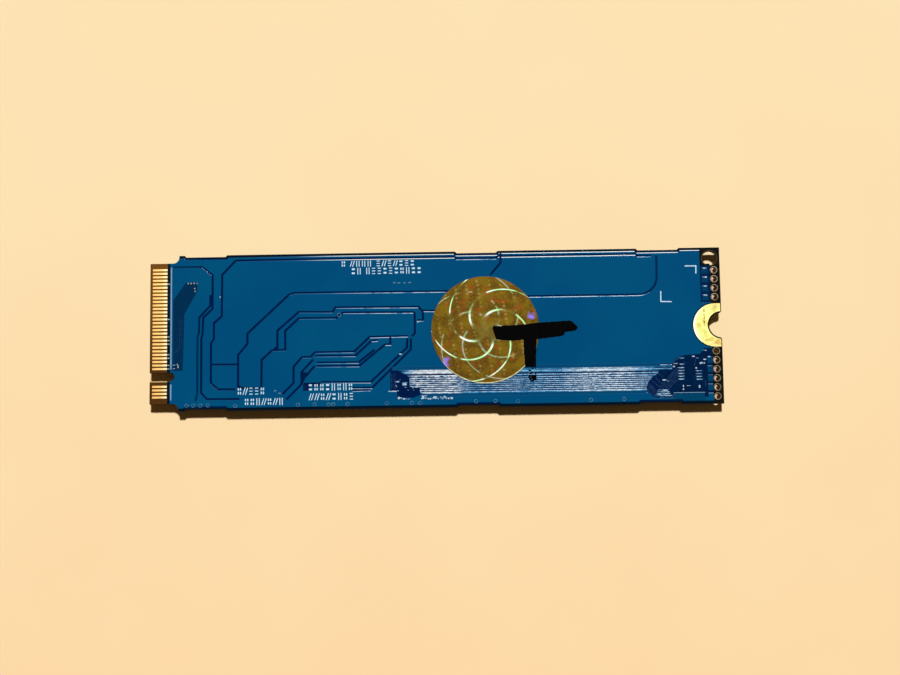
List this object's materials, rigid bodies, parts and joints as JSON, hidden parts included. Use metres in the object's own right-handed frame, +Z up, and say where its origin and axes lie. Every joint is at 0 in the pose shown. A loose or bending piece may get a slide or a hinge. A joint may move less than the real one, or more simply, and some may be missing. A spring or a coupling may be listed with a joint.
{
  "type": "solid state drive card",
  "caption": "Plug-in solid state drive card lying bare side up: blue coated board with gold edge contacts, key notch, half-round mounting notch, round foil sticker and chips beneath.",
  "frame": {"origin": "centre of the card's length and width, on the surface that the packages of its component side rest on", "axes": "+X from the card edge to the mounting end, +Y across the card away from the key notch, +Z up out of the bare side"},
  "size_m": [0.08, 0.022, 0.0022],
  "materials": {
    "laminate": "dark brown glass-fibre laminate",
    "solder_mask": "satin blue solder mask over copper",
    "gold": "bright gold plating",
    "copper": "dull plated copper",
    "foil": "patterned gold-brown foil",
    "moulding": "fine matt black moulding compound",
    "solder": "dull solder",
    "lead_frame": "tinned metal",
    "ferrite": "grainy dark grey pressed powder",
    "tan_ceramic": "satin tan ceramic",
    "black_ceramic": "satin black ceramic",
    "lid_metal": "satin plated lid",
    "tin": "satin tinned end caps"
  },
  "bodies": {
    "root": {"board_laminate": "laminate", "solder_mask_upper": "solder_mask", "solder_mask_lower": "solder_mask", "edge_contacts_upper": "gold", "edge_contacts_lower": "gold", "mounting_pad_upper": "gold", "mounting_pad_lower": "gold", "test_hole_sleeves": "copper", "foil_sticker": "foil", "controller_package": "moulding", "controller_balls": "solder", "buffer_memory_package": "moulding", "buffer_memory_balls": "solder", "flash_package_inner": "moulding", "flash_package_outer": "moulding", "flash_balls": "solder", "power_manager_package": "moulding", "power_manager_frame": "lead_frame", "power_inductor_bodies": "ferrite", "power_inductor_terminals": "lead_frame", "crystal_base": "black_ceramic", "crystal_lid": "lid_metal", "boot_memory_package": "moulding", "boot_memory_frame": "lead_frame", "load_switch_package": "moulding", "load_switch_leads": "lead_frame", "bulk_capacitor_bodies": "tan_ceramic", "bulk_capacitor_caps": "tin", "decoupling_capacitor_bodies": "tan_ceramic", "decoupling_capacitor_caps": "tin", "coupling_capacitor_bodies": "tan_ceramic", "coupling_capacitor_caps": "tin", "resistor_bodies": "black_ceramic", "resistor_caps": "tin", "input_fuse_body": "black_ceramic", "input_fuse_caps": "tin", "ferrite_bead_bodies": "black_ceramic", "ferrite_bead_caps": "tin"}
  },
  "joints": []
}
